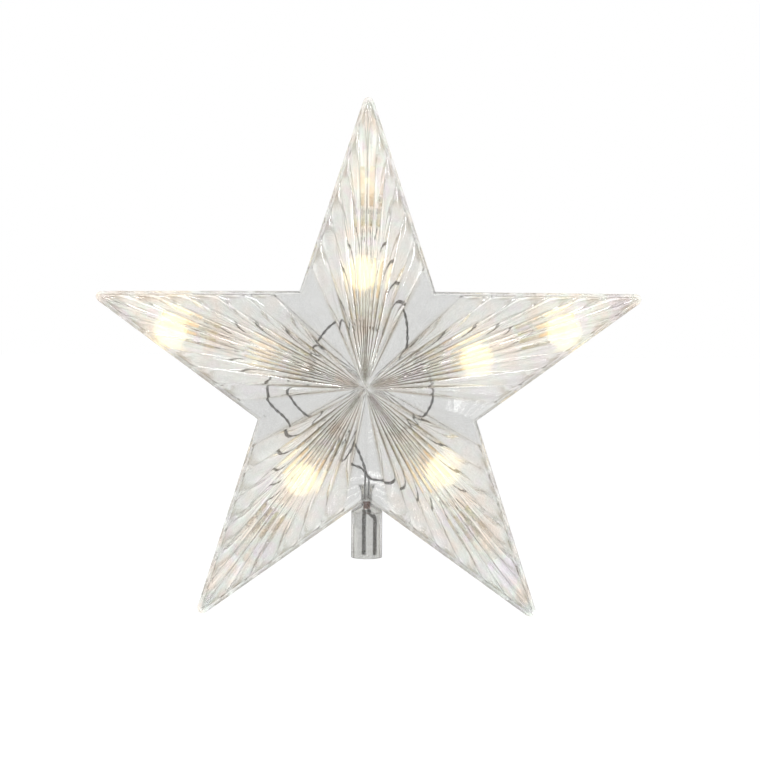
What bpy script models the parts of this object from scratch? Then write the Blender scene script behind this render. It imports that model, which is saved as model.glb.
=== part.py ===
"""Lit five-point star tree topper: two clear fluted half shells, ten lamps on a captive string, a socket tube.

Metres, +Z up. The origin is the centre of the socket tube's mouth. The star stands in the XZ plane with its
front towards -Y. An arm is named by where it points, and its angle runs clockwise from +Z as seen in front.
"""

import math

import bmesh
import bpy
from mathutils import Vector

# Star outline
ARM_NAMES = ("top", "right", "lower_right", "lower_left", "left")
TIP_RADIUS = 0.1216  # hub to the sharp corner that the tip rounding takes off
NOTCH_RADIUS = 0.0470
TIP_ROUND = 0.0023
LEAST_ROUND = 0.0004
STAR_HEIGHT = 0.0712  # hub above the tube's mouth

# Half shells
PEAK_RISE = 0.0220  # rim to peak, along Y
RIM_BAND = 0.0030  # straight band beside the seam
WALL = 0.0015
SEAT_GAP = 0.0003  # between pieces that seat on each other
LIP_WALL = 0.0010  # the rear half's locating lip, inside the front half's rim

# Flutes: each half arm's rim is divided alike, and the last division, beside the notch, stays plain
RIM_DIVISIONS = 7
FLUTE_RISE = 0.0011
FLUTE_GROWTH = 0.4  # power by which a flute's rise grows with its distance from the hub
FLUTE_RIM_MARGIN = 0.0016
FLUTE_END_LENGTH = 0.0020
FLUTE_HUB_REACH = 0.0022
FLUTE_MID_REACH = 0.0100
TIP_FLUTE_STEPS = 5
FLUTE_STEPS = 3
FLUTE_END_STEPS = 2

# Socket tube
TUBE_DIAMETER = 0.0127
TUBE_WALL = 0.0012
NECK_DIAMETER = 0.0050
FLARE_RISE = 0.0026
NOTCH_CLEARANCE = 0.0003
TUBE_SEGMENTS = 28

# Lamp string
LAMP_BASE_REACH = {"inner": 0.0275, "outer": 0.0645}  # hub to the back of the holder
HOLDER_DIAMETER = 0.0064
HOLDER_LENGTH = 0.0120
COLLAR_DIAMETER = 0.0076
COLLAR_LENGTH = 0.0030
SOCKET_DEPTH = 0.0040
STEM_DIAMETER = 0.0046
BULB_DIAMETER = 0.0070
BULB_LENGTH = 0.0120
BULB_SHOULDER = 0.0010
BULB_DOME = 0.0042
LAMP_SEGMENTS = 12
DOME_STEPS = 3
CRADLE_THICKNESS = 0.0022
CRADLE_CHEEK = 0.0009
CRADLE_ARC_STEPS = 6
CRADLE_FOOT = 0.0005  # how far the cradle's foot runs into the shell wall
WIRE_DIAMETER = 0.0012
WIRE_SPACING = 0.0020  # between wires on one holder
WIRE_POINT_STEP = 0.0036
CURVE_PARTS = 12  # between two chosen points of a route
LEAD_DIAMETER = 0.0017
LEAD_ANGLES = (110.0, 33.0)  # about the tube's axis, in degrees from +X towards +Y
LEAD_END = 0.0014  # above the mouth
LEAD_STRAIGHT = 0.0010  # straight below the sleeve
LEAD_BEND = 0.0030  # from there to the bore's wall
LEAD_POINT_STEP = 0.0012
SLEEVE_DIAMETER = 0.0030
SLEEVE_LENGTH = 0.0032
SLEEVE_PROUD = 0.0012  # below the bore's roof

# Values that follow from the ones above
HALF_PITCH = math.pi / len(ARM_NAMES)
RIM_EDGE = math.sqrt(
    TIP_RADIUS**2 + NOTCH_RADIUS**2 - 2 * TIP_RADIUS * NOTCH_RADIUS * math.cos(HALF_PITCH)
)
FACE_REACH = TIP_RADIUS * NOTCH_RADIUS * math.sin(HALF_PITCH) / RIM_EDGE  # hub to a rim edge, square to it
RIM_NORMAL = math.acos(FACE_REACH / TIP_RADIUS)  # angle from an arm's axis to its rim edge's normal
FACE_SLOPE = PEAK_RISE / FACE_REACH
WALL_RISE = WALL * math.sqrt(1 + FACE_SLOPE**2)  # wall thickness measured along Y
LIP_INSET = WALL + SEAT_GAP
LIP_INNER_INSET = LIP_INSET + LIP_WALL
LIP_HEIGHT = RIM_BAND + FACE_SLOPE * LIP_INSET - WALL_RISE - SEAT_GAP
NOTCH_SLOPE = (TIP_RADIUS * math.cos(HALF_PITCH) - NOTCH_RADIUS) / (TIP_RADIUS * math.sin(HALF_PITCH))
TUBE_RADIUS = TUBE_DIAMETER / 2
NECK_RADIUS = NECK_DIAMETER / 2
HOLDER_RADIUS = HOLDER_DIAMETER / 2
BORE_RADIUS = TUBE_RADIUS - TUBE_WALL
SLEEVE_RADIUS = SLEEVE_DIAMETER / 2
NECK_BORE_RADIUS = SLEEVE_RADIUS + SEAT_GAP
ROOF_RISE = TUBE_WALL * math.sqrt(1 + NOTCH_SLOPE**2)  # the tube's conical roof, measured along Z
ARM_ANGLE = {name: 2 * HALF_PITCH * index for index, name in enumerate(ARM_NAMES)}


# Star geometry


def outline_radius(off_axis, inset):
    """Hub to the rounded star outline, inset square to its edges, on the ray this far off an arm's axis."""
    reach = FACE_REACH - inset
    rounding = max(TIP_ROUND - inset, LEAST_ROUND)
    centre = (reach - rounding) / math.cos(RIM_NORMAL)
    tangent = math.atan2(
        rounding * math.sin(RIM_NORMAL), centre + rounding * math.cos(RIM_NORMAL)
    )
    if off_axis < tangent:
        return centre * math.cos(off_axis) + math.sqrt(
            rounding**2 - (centre * math.sin(off_axis)) ** 2
        )
    return reach / math.cos(RIM_NORMAL - off_axis)


def face_height(radius, off_axis):
    """The unfluted outer face's distance from the seam plane."""
    return RIM_BAND + FACE_SLOPE * (FACE_REACH - radius * math.cos(RIM_NORMAL - off_axis))


def inner_height(x, z):
    """The inner face's distance from the seam plane, at a place given from the hub."""
    off_axis = math.atan2(x, z) % (2 * HALF_PITCH)
    return face_height(math.hypot(x, z), min(off_axis, 2 * HALF_PITCH - off_axis)) - WALL_RISE


def rim_columns():
    """(angle, off_axis, flute share, division start) of each ray on which the shells have points."""
    half = []
    for division in range(RIM_DIVISIONS):
        steps = FLUTE_STEPS
        if division == 0:
            steps = TIP_FLUTE_STEPS
        if division == RIM_DIVISIONS - 1:
            steps = 1
        for step in range(steps):
            along = (division + step / steps) / RIM_DIVISIONS
            across = along * NOTCH_RADIUS * math.sin(HALF_PITCH)
            out = TIP_RADIUS + along * (NOTCH_RADIUS * math.cos(HALF_PITCH) - TIP_RADIUS)
            half.append((math.atan2(across, out), math.sin(math.pi * step / steps), step == 0))
    notch = (HALF_PITCH, 0.0, True)
    columns = []
    for arm in range(len(ARM_NAMES)):
        axis = 2 * HALF_PITCH * arm
        columns += [(axis + off, off, share, start) for off, share, start in half]
        columns.append((axis + notch[0], *notch))
        columns += [(axis + 2 * HALF_PITCH - off, off, share, start) for off, share, start in half[:0:-1]]
    return columns


# Mesh helpers


def plastic(name, colour, roughness, transmission=0.0, emission=0.0):
    material = bpy.data.materials.new(name)
    material.use_nodes = True
    shader = material.node_tree.nodes["Principled BSDF"]
    shader.inputs["Base Color"].default_value = (*colour, 1.0)
    shader.inputs["Roughness"].default_value = roughness
    shader.inputs["Metallic"].default_value = 0.0
    shader.inputs["Transmission Weight"].default_value = transmission
    shader.inputs["Emission Color"].default_value = (*colour, 1.0)
    shader.inputs["Emission Strength"].default_value = emission
    return material


def mesh_from(name, shape, sharp_angle):
    """A closed mesh from a bmesh, facing out and shaded smooth up to the sharp angle."""
    bmesh.ops.recalc_face_normals(shape, faces=shape.faces)
    mesh = bpy.data.meshes.new(name)
    shape.to_mesh(mesh)
    shape.free()
    mesh.shade_smooth()
    mesh.set_sharp_from_angle(angle=math.radians(sharp_angle))
    return mesh


def placed(name, data, material, location=(0, 0, 0), turn=0.0):
    """A new object whose +Z is turned clockwise, as seen in front, about the Y axis."""
    if not data.materials:
        data.materials.append(material)
    obj = bpy.data.objects.new(name, data)
    obj.location = location
    obj.rotation_euler = (0, turn, 0)
    bpy.context.scene.collection.objects.link(obj)
    return obj


def turned(name, profile, segments, ring=False):
    """A body of revolution about Z from (radius, height) points; a ring's profile closes on itself."""
    shape = bmesh.new()
    points = [shape.verts.new((radius, 0, height)) for radius, height in profile]
    pairs = list(zip(points, points[1:]))
    if ring:
        pairs.append((points[-1], points[0]))
    edges = [shape.edges.new(pair) for pair in pairs]
    bmesh.ops.spin(
        shape,
        geom=points + edges,
        cent=(0, 0, 0),
        axis=(0, 0, 1),
        angle=2 * math.pi,
        steps=segments,
        use_duplicate=False,
    )
    bmesh.ops.remove_doubles(shape, verts=shape.verts, dist=1e-6)
    return mesh_from(name, shape, 40)


def helper(name, mesh, location=(0, 0, 0)):
    """A hidden object that a Boolean reads."""
    obj = bpy.data.objects.new(name, mesh)
    obj.location = location
    obj.hide_render = True
    obj.display_type = "WIRE"
    bpy.context.scene.collection.objects.link(obj)
    return obj


def boolean(obj, other, operation):
    modifier = obj.modifiers.new(other.name, "BOOLEAN")
    modifier.object = other
    modifier.operation = operation
    modifier.solver = "EXACT"


# Half shells


def ring_of(shape, columns, side, inset, height):
    """One ring of points, at an inset from the outline; height is a function of (radius, off_axis, share)."""
    ring = []
    for angle, off_axis, share, _ in columns:
        radius = outline_radius(off_axis, inset)
        y = side * height(radius, off_axis, share)
        ring.append(shape.verts.new((radius * math.sin(angle), y, radius * math.cos(angle))))
    return ring


def join_rings(shape, first, second):
    for index in range(len(first)):
        after = (index + 1) % len(first)
        shape.faces.new((first[index], first[after], second[after], second[index]))


def close_ring(shape, ring, peak):
    for index in range(len(ring)):
        shape.faces.new((ring[index], ring[(index + 1) % len(ring)], peak))


def flute_rows():
    """(inset, share of the full flute rise) of each row of points from the hub to the rim."""
    flute_end = FACE_REACH - FLUTE_RIM_MARGIN - FLUTE_END_LENGTH
    rows = []
    for reach in (FLUTE_HUB_REACH, FLUTE_MID_REACH):
        growth = (reach - FLUTE_HUB_REACH) / (flute_end - FLUTE_HUB_REACH)
        rows.append((FACE_REACH - reach, growth**FLUTE_GROWTH))
    for step in range(FLUTE_END_STEPS + 1):
        angle = math.pi / 2 * step / FLUTE_END_STEPS
        reach = flute_end + FLUTE_END_LENGTH * math.sin(angle)
        rows.append((FACE_REACH - reach, math.cos(angle) if step < FLUTE_END_STEPS else 0.0))
    rows.append((0.0, 0.0))
    return rows


def half_shell(name, side, inner_rings):
    """A hollow fluted half star; inner_rings lists (inset, height function) from the seam inwards."""
    columns = rim_columns()
    starts = [index for index, column in enumerate(columns) if column[3]]
    plain_columns = [columns[index] for index in starts]
    shape = bmesh.new()
    outer = []
    for inset, amount in flute_rows():

        def fluted(radius, off_axis, share, amount=amount):
            return face_height(radius, off_axis) + FLUTE_RISE * amount * share

        outer.append(ring_of(shape, columns, side, inset, fluted))
    outer.append(ring_of(shape, columns, side, 0.0, lambda *_: SEAT_GAP / 2))
    inner = [ring_of(shape, plain_columns, side, inset, height) for inset, height in inner_rings]
    peak = RIM_BAND + PEAK_RISE
    close_ring(shape, outer[0], shape.verts.new((0, side * peak, 0)))
    for first, second in zip(outer, outer[1:]):
        join_rings(shape, first, second)
    # The seam face: one polygon for each division of the rim
    for place, start in enumerate(starts):
        following = (place + 1) % len(starts)
        stop = starts[following] or len(columns)
        rim = [outer[-1][index % len(columns)] for index in range(start, stop + 1)]
        shape.faces.new((*rim, inner[0][following], inner[0][place]))
    for first, second in zip(inner, inner[1:]):
        join_rings(shape, first, second)
    close_ring(shape, inner[-1], shape.verts.new((0, side * (peak - WALL_RISE), 0)))
    return mesh_from(name, shape, 12)


def inside_face(radius, off_axis, _):
    return face_height(radius, off_axis) - WALL_RISE


def seam_face(*_):
    return SEAT_GAP / 2


def lip_top(*_):
    return -LIP_HEIGHT


def arm_point(arm, along, across, y=0.0):
    """A place in an arm, from the hub: along its axis, across it clockwise, and along Y."""
    angle = ARM_ANGLE[arm]
    return Vector(
        (
            along * math.sin(angle) + across * math.cos(angle),
            y,
            along * math.cos(angle) - across * math.sin(angle),
        )
    )


def add_cradle(shape, arm, reach):
    """A moulded rib with a round notch that a lamp holder lies in; its foot follows the shell's inner face."""
    notch = HOLDER_RADIUS + SEAT_GAP
    cheek = notch + CRADLE_CHEEK
    arc = [math.pi * step / CRADLE_ARC_STEPS for step in range(CRADLE_ARC_STEPS + 1)]
    profile = [(cheek, 0.0)]
    profile += [(notch * math.cos(angle), notch * math.sin(angle)) for angle in arc]
    profile += [(-cheek, 0.0), (-cheek, None), (0.0, None), (cheek, None)]
    ends = []
    for along in (reach - CRADLE_THICKNESS / 2, reach + CRADLE_THICKNESS / 2):
        end = []
        for across, y in profile:
            place = arm_point(arm, along, across)
            place.y = inner_height(place.x, place.z) + CRADLE_FOOT if y is None else y
            end.append(shape.verts.new(place))
        ends.append(end)
    join_rings(shape, *ends)
    for end in ends:
        shape.faces.new(end)


def build_shells(material):
    hub = (0, 0, STAR_HEIGHT)
    front_rings = ((WALL, seam_face), (WALL, inside_face))
    rear_rings = (
        (LIP_INSET, seam_face),
        (LIP_INSET, lip_top),
        (LIP_INNER_INSET, lip_top),
        (LIP_INNER_INSET, inside_face),
    )
    front = placed("front_shell", half_shell("front_shell", -1, front_rings), material, hub)
    rear = placed("rear_shell", half_shell("rear_shell", 1, rear_rings), material, hub)
    cradles = bmesh.new()
    for arm in ARM_NAMES:
        for reach in LAMP_BASE_REACH.values():
            add_cradle(cradles, arm, reach + HOLDER_LENGTH / 2)
    boolean(rear, helper("lamp_cradles", mesh_from("lamp_cradles", cradles, 40), hub), "UNION")
    hole_radius = NECK_RADIUS + SEAT_GAP
    low = NOTCH_RADIUS + NOTCH_SLOPE * TUBE_RADIUS
    high = outline_radius(HALF_PITCH, LIP_INNER_INSET) - FLARE_RISE / 2
    hole = [(0, -high), (hole_radius, -high), (hole_radius, -low), (0, -low)]
    cutter = helper("neck_hole", turned("neck_hole", hole, TUBE_SEGMENTS), hub)
    boolean(rear, cutter, "DIFFERENCE")
    boolean(front, cutter, "DIFFERENCE")


# Socket tube and leads


def cone_height(radius):
    """Height of the tube's conical shoulder, which lies along the star's bottom notch."""
    return STAR_HEIGHT - NOTCH_RADIUS - NOTCH_SLOPE * radius - NOTCH_CLEARANCE


def flare_heights():
    """Heights of the root and the top of the flare that holds the tube inside the shells."""
    root = STAR_HEIGHT - outline_radius(HALF_PITCH, LIP_INNER_INSET)
    return root, root + FLARE_RISE


def sleeve_heights():
    """Heights of the sleeve's foot, just below the bore's roof, and of its head."""
    foot = cone_height(NECK_BORE_RADIUS) - ROOF_RISE - SLEEVE_PROUD
    return foot, foot + SLEEVE_LENGTH


def build_tube(clear, sleeve_material):
    flare, top = flare_heights()
    flare_radius = inner_height(0, top - STAR_HEIGHT) - SEAT_GAP / math.cos(math.atan(FACE_SLOPE))
    profile = [
        (BORE_RADIUS, 0),
        (TUBE_RADIUS, 0),
        (TUBE_RADIUS, cone_height(TUBE_RADIUS)),
        (NECK_RADIUS, cone_height(NECK_RADIUS)),
        (NECK_RADIUS, flare),
        (flare_radius, top),
        (NECK_BORE_RADIUS, top),
        (NECK_BORE_RADIUS, cone_height(NECK_BORE_RADIUS) - ROOF_RISE),
        (BORE_RADIUS, cone_height(BORE_RADIUS) - ROOF_RISE),
    ]
    placed("socket_tube", turned("socket_tube", profile, TUBE_SEGMENTS, ring=True), clear)
    foot, head = sleeve_heights()
    sleeve = [(0, head), (SLEEVE_RADIUS, head), (SLEEVE_RADIUS, foot), (0, foot)]
    placed("lead_sleeve", turned("lead_sleeve", sleeve, LAMP_SEGMENTS), sleeve_material)


def build_leads(material):
    """Two supply leads that part below the sleeve and run down the bore's wall."""
    start = sleeve_heights()[0] - SEAT_GAP
    root = (LEAD_DIAMETER + SEAT_GAP) / 2
    reach = BORE_RADIUS - LEAD_DIAMETER / 2 - SEAT_GAP
    for name, side, degrees in zip(("lead_left", "lead_right"), (-1, 1), LEAD_ANGLES):
        angle = math.radians(degrees)
        wall = Vector((reach * math.cos(angle), reach * math.sin(angle), 0))
        below = Vector((side * root, 0, start - LEAD_STRAIGHT))
        beside = wall + Vector((0, 0, start - LEAD_STRAIGHT - LEAD_BEND))
        route = [
            Vector((side * root, 0, start)),
            below,
            below.lerp(beside, 0.5),
            beside,
            wall + Vector((0, 0, beside.z / 2)),
            wall + Vector((0, 0, LEAD_END)),
        ]
        build_wire(name, route, LEAD_POINT_STEP, LEAD_DIAMETER, material)


# Lamp string


def build_lamps(holder_material, lamp_material):
    collar_start = HOLDER_LENGTH - COLLAR_LENGTH
    socket_floor = HOLDER_LENGTH - SOCKET_DEPTH
    socket_radius = STEM_DIAMETER / 2 + SEAT_GAP
    holder_profile = [
        (0, socket_floor),
        (socket_radius, socket_floor),
        (socket_radius, HOLDER_LENGTH),
        (COLLAR_DIAMETER / 2, HOLDER_LENGTH),
        (COLLAR_DIAMETER / 2, collar_start),
        (HOLDER_RADIUS, collar_start),
        (HOLDER_RADIUS, 0),
        (0, 0),
    ]
    bulb_radius = BULB_DIAMETER / 2
    bulb_foot = HOLDER_LENGTH + SEAT_GAP
    dome_root = bulb_foot + BULB_LENGTH - BULB_DOME
    lamp_profile = [
        (0, socket_floor + SEAT_GAP),
        (STEM_DIAMETER / 2, socket_floor + SEAT_GAP),
        (STEM_DIAMETER / 2, bulb_foot),
        (bulb_radius, bulb_foot + BULB_SHOULDER),
    ]
    for step in range(DOME_STEPS + 1):
        angle = math.pi / 2 * step / DOME_STEPS
        rise = BULB_DOME * math.sin(angle)
        lamp_profile.append((bulb_radius * math.cos(angle) if step < DOME_STEPS else 0, dome_root + rise))
    holder_mesh = turned("lamp_holder", holder_profile, LAMP_SEGMENTS)
    lamp_mesh = turned("lamp", lamp_profile, LAMP_SEGMENTS)
    for arm in ARM_NAMES:
        for row, reach in LAMP_BASE_REACH.items():
            base = arm_point(arm, reach, 0) + Vector((0, 0, STAR_HEIGHT))
            placed(f"holder_{arm}_{row}", holder_mesh, holder_material, base, ARM_ANGLE[arm])
            placed(f"lamp_{arm}_{row}", lamp_mesh, lamp_material, base, ARM_ANGLE[arm])


def smooth_points(route, step):
    """Points at even distances on a Catmull-Rom curve through the route's own points."""
    first = route[0] * 2 - route[1]
    last = route[-1] * 2 - route[-2]
    knots = [first, *route, last]
    fine = []
    for a, b, c, d in zip(knots, knots[1:], knots[2:], knots[3:]):
        for part in range(CURVE_PARTS):
            t = part / CURVE_PARTS
            fine.append(
                (b * 2 + (c - a) * t + (a * 2 - b * 5 + c * 4 - d) * t**2 + (b * 3 - a - c * 3 + d) * t**3) / 2
            )
    fine.append(route[-1])
    lengths = [0.0]
    for before, after in zip(fine, fine[1:]):
        lengths.append(lengths[-1] + (after - before).length)
    count = max(3, round(lengths[-1] / step))
    points = []
    place = 0
    for index in range(count + 1):
        target = lengths[-1] * index / count
        while place < len(fine) - 2 and lengths[place + 1] < target:
            place += 1
        share = (target - lengths[place]) / (lengths[place + 1] - lengths[place])
        points.append(fine[place].lerp(fine[place + 1], share))
    return points


def build_wire(name, route, step, diameter, material, location=(0, 0, 0)):
    points = smooth_points(route, step)
    curve = bpy.data.curves.new(name, "CURVE")
    curve.dimensions = "3D"
    curve.bevel_depth = diameter / 2
    curve.bevel_resolution = 2
    curve.use_fill_caps = True
    spline = curve.splines.new("POLY")
    spline.points.add(len(points) - 1)
    for point, place in zip(spline.points, points):
        point.co = (*place, 1.0)
    placed(name, curve, material, location)


def wire_end(arm, row, place):
    """Where a wire meets the back of a holder, and a point that keeps it square to it; place is -1, 0 or 1."""
    reach = LAMP_BASE_REACH[row] - SEAT_GAP
    across = place * WIRE_SPACING
    return [arm_point(arm, reach, across), arm_point(arm, reach - WIRE_DIAMETER, across)]


def behind(arm, row, back, across, y=0.0):
    """A place in an arm, given by how far it lies behind the back of a holder."""
    return arm_point(arm, LAMP_BASE_REACH[row] - back, across, y)


def beside_lamp(arm, side, depth):
    """The stretch from behind an inner holder, round its side, to just behind the outer holder."""
    return [
        behind(arm, "inner", 0.0039, side * 0.0030, depth),
        behind(arm, "inner", 0.0035, side * 0.0056, depth),
        behind(arm, "inner", -0.0045, side * 0.0068, depth),
        behind(arm, "inner", -0.0155, side * 0.0068, depth),
        behind(arm, "outer", 0.0105, side * 0.0054, depth),
        behind(arm, "outer", 0.0045, side * 0.0028, depth / 2),
    ]


def build_string(material):
    """The twisted pair's stretches, each from one holder to the next, by points chosen along the route."""

    def at(x, z, y=0.0):
        return Vector((x, y, z))

    sleeve_top = sleeve_heights()[1] + SEAT_GAP - STAR_HEIGHT
    flare_top = flare_heights()[1] - STAR_HEIGHT
    routes = {
        "wire_supply_to_lower_left": [
            at(0.0000, sleeve_top),
            at(0.0000, sleeve_top + WIRE_DIAMETER),
            at(0.0000, flare_top),
            at(-0.0008, -0.0350, 0.0012),
            at(-0.0040, -0.0270, 0.0020),
            at(-0.0085, -0.0200, 0.0015),
            at(-0.0128, -0.0178, 0.0006),
            *wire_end("lower_left", "inner", 0)[::-1],
        ],
        "wire_lower_left_to_lower_right": [
            *wire_end("lower_left", "inner", -1),
            behind("lower_left", "inner", 0.0037, -0.0048, -0.0008),
            at(-0.0086, -0.0270, -0.0014),
            at(-0.0071, -0.0318, -0.0016),
            at(-0.0022, -0.0342, -0.0018),
            at(0.0019, -0.0383, -0.0018),
            at(0.0072, -0.0391, -0.0014),
            at(0.0174, -0.0420, -0.0006),
            behind("lower_right", "outer", 0.0115, 0.0068),
            behind("lower_right", "outer", 0.0050, 0.0032),
            *wire_end("lower_right", "outer", 1)[::-1],
        ],
        "wire_along_lower_right": [
            *wire_end("lower_right", "inner", 1),
            behind("lower_right", "inner", 0.0045, 0.0004, 0.0022),
            *beside_lamp("lower_right", -1, 0.0022),
            *wire_end("lower_right", "outer", -1)[::-1],
        ],
        "wire_lower_right_to_right": [
            *wire_end("lower_right", "inner", -1),
            behind("lower_right", "inner", 0.0045, -0.0040, -0.0012),
            behind("lower_right", "inner", 0.0053, -0.0080, -0.0016),
            at(0.0231, -0.0126, -0.0016),
            at(0.0262, -0.0070, -0.0016),
            at(0.0268, -0.0010, -0.0014),
            at(0.0254, 0.0036, -0.0008),
            *wire_end("right", "inner", 1)[::-1],
        ],
        "wire_along_right": [
            *wire_end("right", "inner", -1),
            *beside_lamp("right", -1, 0.0012),
            *wire_end("right", "outer", 0)[::-1],
        ],
        "wire_right_to_top": [
            *wire_end("right", "inner", 0),
            behind("right", "inner", 0.0070, -0.0014, -0.0006),
            at(0.0133, 0.0099, -0.0012),
            at(0.0162, 0.0161, -0.0014),
            at(0.0154, 0.0271, -0.0014),
            at(0.0125, 0.0345, -0.0012),
            behind("top", "outer", 0.0195, 0.0088, -0.0006),
            behind("top", "outer", 0.0095, 0.0056),
            behind("top", "outer", 0.0045, 0.0028),
            *wire_end("top", "outer", 1)[::-1],
        ],
        "wire_along_top": [
            *wire_end("top", "inner", 1),
            behind("top", "inner", 0.0045, 0.0004, 0.0022),
            *beside_lamp("top", -1, 0.0022),
            *wire_end("top", "outer", -1)[::-1],
        ],
        "wire_top_to_left": [
            *wire_end("top", "inner", -1),
            at(-0.0044, 0.0236, -0.0012),
            at(-0.0084, 0.0246, -0.0014),
            at(-0.0124, 0.0255, -0.0014),
            at(-0.0180, 0.0205, -0.0014),
            at(-0.0214, 0.0144, -0.0014),
            behind("left", "inner", 0.0047, 0.0040, -0.0010),
            *wire_end("left", "inner", 1)[::-1],
        ],
        "wire_along_left": [
            *wire_end("left", "inner", 0),
            behind("left", "inner", 0.0047, 0.0008, 0.0020),
            *beside_lamp("left", 1, 0.0024),
            *wire_end("left", "outer", 1)[::-1],
        ],
        "wire_left_to_lower_left_outer": [
            *wire_end("left", "outer", -1),
            behind("left", "outer", 0.0055, -0.0030),
            behind("left", "outer", 0.0145, -0.0078),
            at(-0.0402, 0.0018),
            at(-0.0406, -0.0064),
            at(-0.0316, -0.0166),
            behind("lower_left", "outer", 0.0255, 0.0126),
            behind("lower_left", "outer", 0.0155, 0.0084),
            behind("lower_left", "outer", 0.0065, 0.0030),
            *wire_end("lower_left", "outer", 0)[::-1],
        ],
        "wire_left_to_lower_left_inner": [
            *wire_end("left", "inner", -1),
            behind("left", "inner", 0.0037, -0.0044, -0.0006),
            behind("left", "inner", 0.0015, -0.0080, -0.0010),
            at(-0.0326, -0.0003, -0.0010),
            at(-0.0304, -0.0064, -0.0010),
            at(-0.0243, -0.0130, -0.0010),
            behind("lower_left", "inner", 0.0059, 0.0066, -0.0010),
            behind("lower_left", "inner", 0.0045, 0.0032, -0.0006),
            *wire_end("lower_left", "inner", 1)[::-1],
        ],
    }
    for name, route in routes.items():
        build_wire(name, route, WIRE_POINT_STEP, WIRE_DIAMETER, material, (0, 0, STAR_HEIGHT))


def main():
    for obj in list(bpy.data.objects):
        bpy.data.objects.remove(obj)
    clear = plastic("clear_plastic", (0.93, 0.94, 0.94), 0.05, transmission=1.0)
    tube_clear = plastic("clear_tube_plastic", (0.86, 0.87, 0.87), 0.08, transmission=1.0)
    wire = plastic("dark_wire_cover", (0.11, 0.095, 0.08), 0.45)
    sleeve = plastic("brown_sleeve", (0.20, 0.075, 0.045), 0.5)
    holder = plastic("pale_holder_plastic", (0.88, 0.80, 0.70), 0.2, transmission=1.0)
    lamp = plastic("warm_lamp", (1.0, 0.86, 0.58), 0.15, emission=2.0)
    build_shells(clear)
    build_tube(tube_clear, sleeve)
    build_leads(wire)
    build_lamps(holder, lamp)
    build_string(wire)


main()
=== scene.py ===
"""Looks of the lit star tree topper: clear fluted halves, lamps on a twisted pair, and a clear socket tube.

Metres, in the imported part's own frame: origin at the tube's mouth, +Z up, the star's front towards -Y.
"""

import math

import bmesh
import bpy
from mathutils import Matrix, Vector


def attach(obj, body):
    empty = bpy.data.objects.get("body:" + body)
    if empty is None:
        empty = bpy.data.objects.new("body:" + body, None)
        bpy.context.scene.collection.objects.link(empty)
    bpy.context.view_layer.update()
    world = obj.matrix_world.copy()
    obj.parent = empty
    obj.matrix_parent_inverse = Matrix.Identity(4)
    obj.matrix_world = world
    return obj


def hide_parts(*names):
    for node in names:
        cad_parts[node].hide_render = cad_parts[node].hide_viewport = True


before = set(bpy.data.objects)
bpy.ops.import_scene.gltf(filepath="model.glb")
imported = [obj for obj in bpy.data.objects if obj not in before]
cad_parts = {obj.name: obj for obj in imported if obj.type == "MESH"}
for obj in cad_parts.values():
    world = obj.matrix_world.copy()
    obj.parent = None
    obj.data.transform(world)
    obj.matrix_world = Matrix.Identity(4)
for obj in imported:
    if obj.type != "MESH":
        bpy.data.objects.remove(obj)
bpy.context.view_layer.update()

# Star outline and shell sizes, as in the solids
ARM_NAMES = ("top", "right", "lower_right", "lower_left", "left")
TIP_RADIUS = 0.1216
NOTCH_RADIUS = 0.0470
TIP_ROUND = 0.0023
LEAST_ROUND = 0.0004
STAR_HEIGHT = 0.0712
PEAK_RISE = 0.0220
RIM_BAND = 0.0030
WALL = 0.0015
SEAT_GAP = 0.0003
LIP_WALL = 0.0010
RIM_FILLET = 0.0004
FILLET_MIDDLE = (0.30, 0.35)  # its middle, from the rim and below the face, as shares of its radius
SHELL_SHARP_DEGREES = 18

# Flutes
RIM_DIVISIONS = 7
FLUTE_RISE = 0.0011
FLUTE_ROUNDNESS = 0.8  # below 1 a flute is fuller than a half sine and its grooves are sharper
FLUTE_RIM_MARGIN = 0.0016
FLUTE_END_LENGTH = 0.0020
FLUTE_HUB_REACH = 0.0012
FLUTE_GROWTH = 0.4  # how a flute's rise grows with its distance from the hub
FLUTE_STEPS = 10
PLAIN_STEPS = 4
FLUTE_ROWS = 14
FLUTE_END_ROWS = 7
ROW_CROWDING = 1.5  # above 1 the rows of points lie closer together near the hub

# Painted shade of the flutes, from 0 on a crest to 1 in a groove; the crests' near-white is a painted
# highlight
PANE_SHADE = 0.15
PANE_COLOUR = (0.84, 0.846, 0.848)
PAINTED_SHADE_COLOURS = (
    (0.0, (0.98, 0.98, 0.97)),
    (PANE_SHADE, PANE_COLOUR),
    (0.55, (0.48, 0.445, 0.375)),  # half way up a groove's sides
    (1.0, (0.030, 0.018, 0.006)),  # painted shade, for what the grooves gather from the dark side of the room
)
GROOVE_WIDTHS = (3.4, 1.5)  # how wide a groove's painted shade is near the hub, and farther out
GROOVE_SHARPNESS = 2.7
GROOVE_FADE = (0.022, 0.055)  # from the hub, where the grooves' painted shade begins and ends to get paler
GROOVE_LEAST = 0.20  # what is left of their painted shade after that
GROOVE_SIDE_LOSS = 0.75  # how much less painted shade the grooves beside the panes get than an arm's middle one
GROOVE_CENTRE = 0.0045  # where the painted groove shade fades out towards the pale middle of the star
FLUTE_END_PAINTED_SHADE = 0.55  # painted shade: the dark dash at the round end of a flute
SHADE_FOCUS = 3  # keeps that dash to a flute's crest, and the side loss to the grooves next to the panes
# Painted rainbow, for the faint colours that the flutes part the light into: (level of an even pattern,
# colour)
PAINTED_RAINBOW = (
    (0.36, (1.0, 0.87, 0.78)),
    (0.46, (1.0, 0.98, 0.95)),
    (0.54, (0.90, 1.0, 0.95)),
    (0.64, (0.94, 0.88, 1.0)),
)
PAINTED_RAINBOW_SCALE = 110  # patches per metre

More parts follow.
